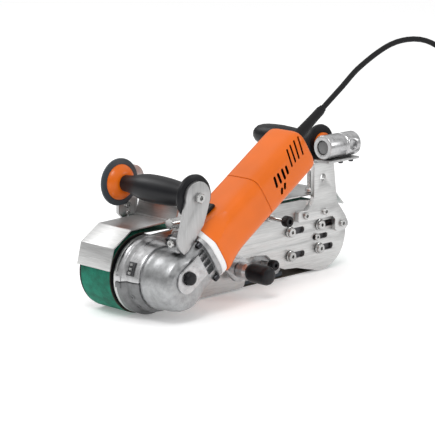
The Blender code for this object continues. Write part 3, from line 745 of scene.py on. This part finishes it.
def make_brackets():
    rod_hole = hole(HANDLE_X, HANDLE_Z, 4.6)
    near = arc(HANDLE_X, HANDLE_Z, 18.5, -20, 188, 48) \
        + [(-11.5, 96), (-9, 87), (-3, 81), (4, 84.5), (17, 99), (27, 110), (32, 122)]
    plate("handle_bracket_near", near, NEAR - BRACKET, NEAR, "plate_rough", node="near_handle_bracket",
          bevel=0.6, holes=[rod_hole])
    lug = [(-11, 82.6), (-1, 82.8), (9, 91.2), (14, 94.8), (17, 101), (4, 103), (-8, 99)]
    plate("bracket_boss", fillet(lug, 3, closed=True), NEAR + 0.3, NEAR + 14, "cast", node="bracket_lug",
          bevel=1.0)
    seat = (-10, NEAR + 7, 93.5)
    stud = lathe("bracket_stud", seat, ALONG,
                 [(3.4, -4.6), (4.3, -4.3), (4.6, -3.6), (4.6, -1.2), (2.7, -1.2), (2.7, 0)], segs=48)
    dress(key_cut(stud, seat, ALONG, 2.3, -6, -2.4), "screw", node="bracket_bolt")
    foot = [(23, 128), (21, 122), (21, 104), (28, 97.4), (46, 96.6), (50, 101), (51, 118), (57, 130)]
    far = arc(44, 142, 17.5, -25, 100, 32) + arc(HANDLE_X, HANDLE_Z, 15, 100, 215, 24) \
        + fillet(foot, 3, 4)[1:-1]
    bolt_x, bolt_z = 34.5, 103.6
    plate("handle_bracket_far", far, FAR, FAR + BRACKET, "plate_rough", node="far_handle_bracket",
          bevel=0.5, holes=[rod_hole, hole(bolt_x, bolt_z, 2.6)])
    for name, z, radius in (("foot_bolt_upper", bolt_z + 9.9, 4.2), ("foot_bolt_lower", bolt_z, 3.8)):
        bolt_head(name, (bolt_x, FAR + 0.3, z), TO_MOTOR, radius, 3.0, socket=2.0, sides=ROUND)
    bridge = [(42.6, 98.9), (48.5, 98.9), (54.5, 117.5), (52.9, 118), (47.3, 101.6), (42.6, 101.6)]
    plate("bridge_sheet", fillet(bridge, 1.5, 4, closed=True), PLATE_OUT, FAR - 0.3, "guard",
          node="handle_bridge", bevel=0.4)
    turn("bridge_spacer", (24, -60, 107.6), ALONG, [(5.2, -12), (6, -11.2), (6, 13), (5.2, 13.8)],
         "screw", segs=48)


def make_front_handle():
    axis = (HANDLE_X, 0, HANDLE_Z)
    bore = 4.6
    grip = [(bore, NEAR + 0.3), (23, NEAR + 0.3), (24.8, NEAR + 1.2), (25.8, -93.6), (25.4, -91.4),
            (23.6, -89.9), (19, -89), (15, -87.4), (13.2, -85.6), (12.8, -82.5), (13.2, -76), (14.4, -67),
            (15.6, -55), (16.3, -41), (16.4, -28), (16.0, -18), (14.8, -9), (12.6, 0), (10.7, 8),
            (9.9, 14), (9.7, 20), (bore, 20)]
    turn("grip_front", axis, ACROSS, grip, "black", node="front_grip", loop=True, segs=96)
    cone = [(bore, 20.3), (11, 20.3), (13, 21), (16, 23), (19, 26), (20.6, 28), (21, 29.2), (bore, 29.2)]
    turn("grip_cone", axis, ACROSS, cone, "orange", node="front_cone", loop=True, segs=96)
    flange = [(bore, 29.5), (26.6, 29.5), (27.7, 30.1), (28, 31), (27.8, 32.6), (26.8, 33.8), (25.4, 34.2),
              (bore, 34.2)]
    turn("grip_flange", axis, ACROSS, flange, "graphite", node="front_end_flange", loop=True, segs=96)
    turn("handle_rod", axis, ACROSS, [(4.2, NEAR - 4.6), (4.2, FAR + 4.8)], "screw", node="handle_bolt",
         segs=32)
    bolt_head("handle_bolt_head", (HANDLE_X, NEAR - BRACKET, HANDLE_Z), TO_MOTOR, 6.4, 5.0, socket=2.9)
    bolt_head("handle_bolt_nut", (HANDLE_X, FAR + BRACKET, HANDLE_Z), ACROSS, 7.0, 4.5)


# ---------------------------------------------------------------- rear handle
CLAMP = (0, -45.0, 159.5)               # a point on the clamp sleeve's axis, which runs along the tool
GRIP_FOOT = (307, 0, 160)               # where the grip meets the swinging rod


def make_rear_mount():
    foot = [(250, 83), (250, 69.5), (312, 69.5), (317.5, 65), (317.5, 52), (321, 48.5), (336, 48.5),
            (341.5, 53), (341.5, 58), (336.5, 67), (328, 78), (321, 86), (318.5, 101), (314, 134),
            (313, 141), (279, 141), (278, 138), (278, 98), (273, 88), (266, 83)]
    plate("upright", fillet(foot, 3, closed=True), -40.0, PLATE_OUT - 0.3, "sheet", node="rear_upright",
          bevel=0.6, holes=[hole(294, 121, 4.6)])
    for i, (x, z) in enumerate(((262.6, 76.7), (297.5, 77.3), (330.0, 57.5)), 1):
        bolt_head(f"upright_screw_{i}", (x, -39.8, z), TO_MOTOR, 4.5, 3.6, socket=2.3, sides=ROUND)
    thread = [(3.0 + 0.35 * (k % 2), 100 + 0.9 * k) for k in range(31)]
    turn("adjuster_thread", (291, -20, 0), UP, thread, "screw", segs=40)
    bolt_head("adjuster_nut", (291, -20, 100.6), UP, 6.0, 4.6)
    plate("clamp_bar", [(284, 141.3), (341, 141.3), (341, 144), (284, 144)], -58.0, PLATE_OUT,
          "plate_rough", node="clamp_strip", bevel=0.4)
    for i, x in enumerate((315.0, 334.0), 1):
        bolt_head(f"strip_screw_{i}", (x, -50, 141.1), (0, 0, -1), 3.0, 3.6, "black_screw", 1.5, ROUND)


def make_rear_handle():
    sleeve = lathe("clamp_sleeve", CLAMP, ALONG,
                   [(9, 287), (14.2, 287), (15, 287.8), (15, 316), (14.2, 316.6), (13.6, 317.4),
                    (13.6, 319), (14.2, 319.8), (15, 320.4), (15, 341), (14.2, 342), (9, 342)],
                   loop=True, segs=96)
    bore = lathe("bore", (328, 0, CLAMP[2] + 1), ACROSS, [(7, -70), (7, -55.5)], segs=40)
    dress(cut(sleeve, bore), "cast_smooth", node="rear_clamp", bevel=0.25)
    turn("swing_rod", CLAMP, ALONG, [(6, 287.6), (8, 288), (8.7, 289), (8.7, 341), (8, 342)],
         "dark_cast", "rear_handle", "clamp_rod")
    turn("handle_ring", GRIP_FOOT, ACROSS,
         [(6, -29.6), (12.2, -29.6), (13.4, -29), (14, -28), (14, -25.6), (6, -25.6)],
         "orange", "rear_handle", "rear_handle_ring", loop=True, segs=96)
    turn("grip_rear", GRIP_FOOT, ACROSS,
         [(17, -25.3), (21.8, -24.8), (23.4, -23.4), (24, -20.9), (23.4, -18.8), (20.6, -16.8),
          (16.8, -15.2), (14.5, -12.5), (13.2, -6), (13, 0), (13.6, 12), (14.6, 26), (15.4, 44),
          (15.1, 58), (14.4, 68), (13.2, 76), (11.2, 82.4), (8.4, 86.4), (4, 88)],
         "black", "rear_handle", "rear_grip", segs=96)


# ---------------------------------------------------------------- motor
# Each vent is a slot between two (along, over) points: one row of long vents and two of short ones.
LONG_VENTS = (((228.1, 25.8), (223.9, 3.2)), ((220.3, 26.3), (216.0, 3.7)), ((212.5, 26.0), (209.2, 4.1)),
              ((205.7, 25.0), (201.8, 3.5)))
SHORT_VENTS = (((193.3, 9.2), (192.1, 1.0)), ((186.2, 10.7), (185.0, -0.7)), ((178.2, 10.6), (177.3, -0.2)),
               ((171.5, 11.0), (169.3, -0.2)), ((181.2, -6.7), (178.6, -10.7)),
               ((174.1, -8.3), (171.5, -12.3)))
VENT_SLANT = Vector((0.6875, 0.6957, -0.2086))      # the vents' direction through the wall
HOUSING_R, HOLLOW_R = 28.0, 24.8        # half the housing's width outside and inside
FRONT_START, FRONT_END, MOTOR_END = 55.3, 147.7, 238.0
BODY_POWER, NECK_POWER = 4.6, 3.3       # how square the housing and the collar are


def vent(start, end, half):
    """Round-ended cutter through the near flank of the motor, between two points (along, over)."""
    a, b = Vector(start), Vector(end)
    d = (b - a).normalized()
    w = Vector((-d.y, d.x)) * half
    pts = []
    for base, sign in ((b, 1), (a, -1)):
        for k in range(7):
            t = math.pi * k / 6
            pts.append(base + w * sign * math.cos(t) + d * sign * math.sin(t) * half)
    front = [motor_point(p.x, p.y, -HOUSING_R) - VENT_SLANT * 6 for p in pts]
    back = [motor_point(p.x, p.y, -HOUSING_R) + VENT_SLANT * 15 for p in pts]
    return rings("vent", [front, back])


def facet(ring, along, reach):
    """Flattens the upper near corner of a ring, where it passes reach on both sides of the axis."""
    centre, up = motor_point(along), Vector((-math.sin(TILT), 0, math.cos(TILT)))
    corner = (up + Vector(TO_MOTOR)).normalized()
    out = []
    for p in ring:
        over = (p - centre).dot(corner) - reach / math.sqrt(2)
        out.append(p - corner * over if over > 0 else p)
    return out


def make_motor():
    # (along, half width, reach of the facet)
    collar = ((47, 32.2, 47.0), (47.8, 33, 48.0), (54.2, 33, 48.2), (55, 32.2, 47.2))
    chain = [facet(squircle(s, a, a, NECK_POWER), s, reach) for s, a, reach in collar]
    inner = [squircle(s, 26, 26, 2) for s in (47, 55)]
    dress(rings("collar", inner[:1] + chain + inner[1:], loop=True), "white", node="gear_collar")
    # (along, half width, power, reach of the facet): the collar's form runs into the housing's
    no_facet = 60.0                     # past the ring's corner, so nothing is flattened
    barrel = ((FRONT_START, 32.4, 4.2, 47.0), (56, 32.9, 4.2, 47.5), (59, 33.0, 4.2, 46.9),
              (62, 32.5, 4.3, 46.3), (65, 31.9, 4.3, 45.7), (68, 31.2, 4.4, 45.2), (75, 29.8, 4.5, 44.6),
              (83, 28.8, BODY_POWER, 45.0), (90, 28.3, BODY_POWER, 46.5), (94, 28.2, BODY_POWER, no_facet),
              (120, HOUSING_R, BODY_POWER, no_facet), (147.0, HOUSING_R, BODY_POWER, no_facet),
              (FRONT_END - 0.1, 27.5, BODY_POWER, no_facet))
    outer = [facet(squircle(s, a, a, power, 192), s, reach) for s, a, power, reach in barrel]
    inner = [squircle(s, HOLLOW_R, HOLLOW_R, 2.2, 192) for s in (FRONT_END, 120, 92, FRONT_START)]
    dress(rings("housing_front", outer + inner, loop=True), "orange", node="motor_housing_front", angle=11)
    # (along, half width)
    start, inner_end = FRONT_END + 0.3, MOTOR_END - 7
    tail = ((start, 27.6), (148.6, 28.1), (180, 28.1), (212, 28.1), (226, 28.0), (232, 27.6), (235, 26.7),
            (237, 25.2), (MOTOR_END, 23.2))
    outer = [squircle(s, a, a, BODY_POWER) for s, a in tail]
    cord_hole = [squircle(s, 6.2, 6.2, 2, over=BOOT_OVER) for s in (MOTOR_END, inner_end)]
    inner = [squircle(s, HOLLOW_R, HOLLOW_R, 2.2) for s in (inner_end, start)]
    shell = rings("housing_rear", outer + cord_hole + inner, loop=True)
    slots = [vent(a, b, 1.3) for a, b in LONG_VENTS] + [vent(a, b, 1.9) for a, b in SHORT_VENTS]
    dress(cut(shell, *slots), "orange", node="motor_housing_rear")
    # Black tube inside the rear housing, just behind the vent slots: painted shade that keeps the slots dark
    turn("vent_painted_shade", motor_point(0), MOTOR_DIR, [(22.6, 152), (23.8, 152), (23.8, 228), (22.6, 228)],
         "rubber", loop=True, segs=72)
    turn("cord_sleeve", motor_point(0, BOOT_OVER), MOTOR_DIR,
         [(5.8, 229.5), (5.8, 238.3), (7.5, 238.3), (7.6, 239.5), (7.2, 247), (6.7, 256), (6.1, 270),
          (5.6, 285), (5.6, 296), (5.4, 298), (4.7, 298.6), (4.7, 301), (4.4, BOOT_END)],
         "rubber", node="cord_boot")


def paint_inner_nodes():
    """The CAD's own inner parts keep their shape and get a better material."""
    looks = {"field_core": "dark", "armature": "copper", "cooling_fan": "black", "pinion_gear": "screw",
             "crown_gear": "dark"}
    for node, look in looks.items():
        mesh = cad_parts[node].data
        material, _ = LOOKS[look]
        mesh.materials.clear()
        mesh.materials.append(material)


def make_switch():
    first, last, half = 79.0, 97.0, 6.5
    chain = []
    for over, inset in ((29.4, 0.0), (31.6, 0.2), (32.6, 1.2)):
        corners = [(first + inset, inset - half), (last - inset, inset - half), (last - inset, half - inset),
                   (first + inset, half - inset)]
        chain.append([motor_point(s, over, 2 + y) for s, y in fillet(corners, 2, 4, closed=True)])
    dress(rings("switch_slider", chain), "black", "switch", "slide_switch")


# ---------------------------------------------------------------- gear head
BUTTON = (-1, 54.5)                     # (x, z) of the spindle lock button
COVER_IN, COVER_OUT = -105.5, -107.6    # the two faces of the gear cover


def soften(obj, voxel, rounds):
    """Runs joined forms into one another, as on a casting."""
    mod = obj.modifiers.new("skin", "REMESH")
    mod.mode, mod.voxel_size = "VOXEL", voxel * MM
    mod = obj.modifiers.new("relax", "SMOOTH")
    mod.factor, mod.iterations = 0.5, rounds
    bake(obj)


def beside_motor(points):
    """(x, z) outline from points given as (along, over) of the motor axis."""
    return [(p.x, p.z) for p in (motor_point(s, n) for s, n in points)]


def make_gear_case():
    head = lathe("gear_case", SPINDLE, ACROSS,
                 [(18, -105.4), (25, -104.4), (30, -101), (33, -95), (34.4, -86), (34.6, -76), (36, -70),
                  (36, -63), (33, -62), (33, -56)], segs=96)
    lobe = rings("lobe", [squircle(s, a, 20.6, 2.6, 48, over=over, side=-7.2)
                          for s, a, over in ((0, 25, 0), (16, 30.8, -1.0), (43, 30.8, -0.5))])
    shelf = beside_motor([(43, 14), (43, -14), (2, -10), (-8, -3), (-8, 12), (0, 17)])
    cut(head, lobe, slab("shelf", shelf, -105.2, -90), operation="UNION")
    soften(head, 1.3, 9)
    neck = lathe("neck", SPINDLE, ACROSS, [(31, -63.6), (31, -34.5)], segs=96)
    flange = rings("flange", [squircle(s, a, a, NECK_POWER, 64)
                              for s, a in ((40.9, 31.2), (41.6, 32), (46.7, 32))])
    cut(head, neck, flange, operation="UNION")
    gears = lathe("gears", SPINDLE, ACROSS, [(25, -98), (27, -90), (27, -57.5), (13, -57.5), (13, -30)])
    pinion = lathe("pinion", motor_point(0), MOTOR_DIR, [(12.5, 8), (12.5, 60)], segs=48)
    pocket = fillet([(29.5, -13), (40.4, -13), (40.4, 19), (29.5, 19)], 3, 4, closed=True)
    button_bore = lathe("button_bore", (BUTTON[0], 0, BUTTON[1]), ACROSS, [(7.8, -112), (7.8, -90)], segs=48)
    cut(head, gears, pinion, slab("pocket", beside_motor(pocket), -112.0, -98.6), button_bore)
    dress(head, "cast", node="gear_head", angle=50)
    for i, over in enumerate((-5.0, 3.0, 11.0)):
        rib = beside_motor([(29, over - 0.9), (41, over - 0.9), (41, over + 0.9), (29, over + 0.9)])
        plate(f"pocket_rib_{i + 1}", rib, -103.0 + 0.8 * i, -98.0, "cast", bevel=0.3)


def make_gear_cover():
    cover = beside_motor([(28.5, 19.7), (28.5, -8.7)] + arc(-0.8, 5.5, 14.2, 270, 90, 40))
    plate("gear_cover", cover, COVER_OUT, COVER_IN, "cast_smooth", node="gear_head_cover", bevel=0.6,
          holes=[hole(*BUTTON, 7.9)])
    turn("lock_pin", (BUTTON[0], -107, BUTTON[1]), TO_MOTOR,
         [(7.4, -6), (7.4, 4.2), (7.0, 5.2), (6.0, 5.9), (3, 6)],
         "black", "lock_button", "spindle_lock_button", segs=48)
    for i, (over, side) in enumerate(((25, -25), (-25, -25), (-25, 23.5), (25, 23.5)), 1):
        seat = motor_point(40.7, over, side)
        screw = lathe(f"corner_screw_{i}", seat, MOTOR_DIR, [(3.1, -6), (3.5, -5.4), (3.5, 0)], segs=32)
        dress(key_cut(screw, seat, MOTOR_DIR, 1.8, -8, -3.4), "black_screw", node=f"head_screw_{i}")


# ---------------------------------------------------------------- hub clamp
CLAMP_MIDDLE = -52.0                    # y of the clamp's screws and window


def spoke(degrees):
    """Unit vector from the spindle at an angle above the x axis."""
    a = math.radians(degrees)
    return Vector((math.cos(a), 0, math.sin(a)))


def make_hub_clamp():
    section = ((31.3, -34.3), (45.6, -34.3), (45.6, -42.8), (45.2, -43.5), (40.9, -45.6), (40.4, -47),
               (40.2, -56), (39.6, -58), (38.4, -62.4), (37.6, -63.3), (31.3, -63.3))
    gap, steps = 0.8, 72
    for name, look, node, sign in (("clamp_upper", "cast_smooth", "hub_clamp_upper", 1),
                                   ("clamp_lower", "dark_cast", "hub_clamp_lower", -1)):
        chain = []
        for i in range(steps + 1):
            a = math.radians(gap + (180 - 2 * gap) * i / steps)
            chain.append([(r * math.cos(a), y, DRIVE_R + sign * r * math.sin(a)) for r, y in section])
        half = rings(name, chain)
        low, high = DRIVE_R + sign * 0.6, DRIVE_R + sign * 7.0
        for side in (-1, 1):
            ear = [(side * 40.0, low), (side * 47.5, low), (side * 47.5, high), (side * 40.0, high)]
            cut(half, slab("ear", ear, -43.0, -34.6), operation="UNION")
        dress(half, look, node=node, bevel=0.3)
    middle = Vector((0, CLAMP_MIDDLE, DRIVE_R))
    for i, degrees in enumerate((206, 228), 1):
        out = spoke(degrees)
        bolt_head(f"clamp_screw_{i}", middle + out * 40.0, out, 3.2, 1.2, "dark_cast", 1.4, ROUND)


def make_tension_window():
    """Dark frame on the upper clamp half, with three bright coils."""
    out, across = spoke(158), spoke(158 + 90)
    seat = Vector((0, CLAMP_MIDDLE, DRIVE_R)) + out * 39.2
    base = [seat + across * u + Vector((0, v, 0)) for u, v in ((-8, -5), (8, -5), (8, 5), (-8, 5))]
    dress(rings("tension_window", [base, [p + out * 2.6 for p in base]]), "dark", bevel=0.3)
    for u in (-4.6, 0.4, 5.2):
        turn(f"tension_coil_{round(u * 10 + 50)}", seat + out * 3.0 + across * u, across,
             [(1.6, -1.6), (2.2, -1.2), (2.2, 1.2), (1.6, 1.6)], "screw", segs=32)


make_belt()
make_rollers()
make_platen()
make_side()
make_carriage()
make_lever()
make_knobs()
make_guards()
make_brackets()
make_front_handle()
make_rear_mount()
make_rear_handle()
make_motor()
paint_inner_nodes()
make_switch()
make_gear_case()
make_gear_cover()
make_hub_clamp()
make_tension_window()


# ---------------------------------------------------------------- studio
FLOOR = 9.0                             # half its side, in metres, as are the lamps' places
LAMP_TARGET = Vector((0, 0, 0.08))
LAMPS = (("key", (-1.3, -0.9, 2.2), 22, 0.8), ("side", (1.6, -1.9, 1.1), 8, 0.6),
         ("back", (-0.6, 2.0, 1.8), 14, 1.0))   # name, place, watts, size
SKY = ((0.0, 0.22), (0.25, 0.42), (0.55, 0.9), (0.8, 1.0))  # height and grey level, from the horizon up


def make_floor():
    """Pale paper that glows a little, so that it stays as white as the photo's ground."""
    mesh = bpy.data.meshes.new("floor")
    corners = [(-FLOOR, -FLOOR, 0), (FLOOR, -FLOOR, 0), (FLOOR, FLOOR, 0), (-FLOOR, FLOOR, 0)]
    mesh.from_pydata(corners, [], [(0, 1, 2, 3)])
    floor = bpy.data.objects.new("floor", mesh)
    bpy.context.scene.collection.objects.link(floor)
    n = Nodes("floor_paper")
    colour = n.ramp(n.noise(2.0), ((0.3, (0.88, 0.88, 0.88)), (0.7, (0.9, 0.9, 0.9))))
    mesh.materials.append(n.out(Base_Color=colour, Roughness=0.9, Emission_Color=(1.0, 1.0, 1.0, 1.0),
                                Emission_Strength=0.22))


def make_sky():
    world = bpy.data.worlds.new("studio")
    bpy.context.scene.world = world
    world.use_nodes = True
    tree = world.node_tree
    coord = tree.nodes.new("ShaderNodeTexCoord")
    split = tree.nodes.new("ShaderNodeSeparateXYZ")
    height = tree.nodes.new("ShaderNodeValToRGB")
    tree.links.new(coord.outputs["Generated"], split.inputs["Vector"])
    tree.links.new(split.outputs["Z"], height.inputs["Fac"])
    while len(height.color_ramp.elements) < len(SKY):
        height.color_ramp.elements.new(0.5)
    for e, (place, grey) in zip(height.color_ramp.elements, SKY):
        e.position, e.color = place, (grey, grey, grey, 1.0)
    background = tree.nodes["Background"]
    tree.links.new(height.outputs["Color"], background.inputs["Color"])
    background.inputs["Strength"].default_value = 0.95


def make_lamps():
    for name, place, power, size in LAMPS:
        data = bpy.data.lights.new(name, "AREA")
        data.energy, data.size = power, size
        lamp = bpy.data.objects.new(name, data)
        lamp.location = place
        lamp.rotation_euler = (LAMP_TARGET - lamp.location).to_track_quat("-Z", "Y").to_euler()
        bpy.context.scene.collection.objects.link(lamp)


make_floor()
make_sky()
make_lamps()
bpy.context.scene.view_settings.view_transform = "Standard"
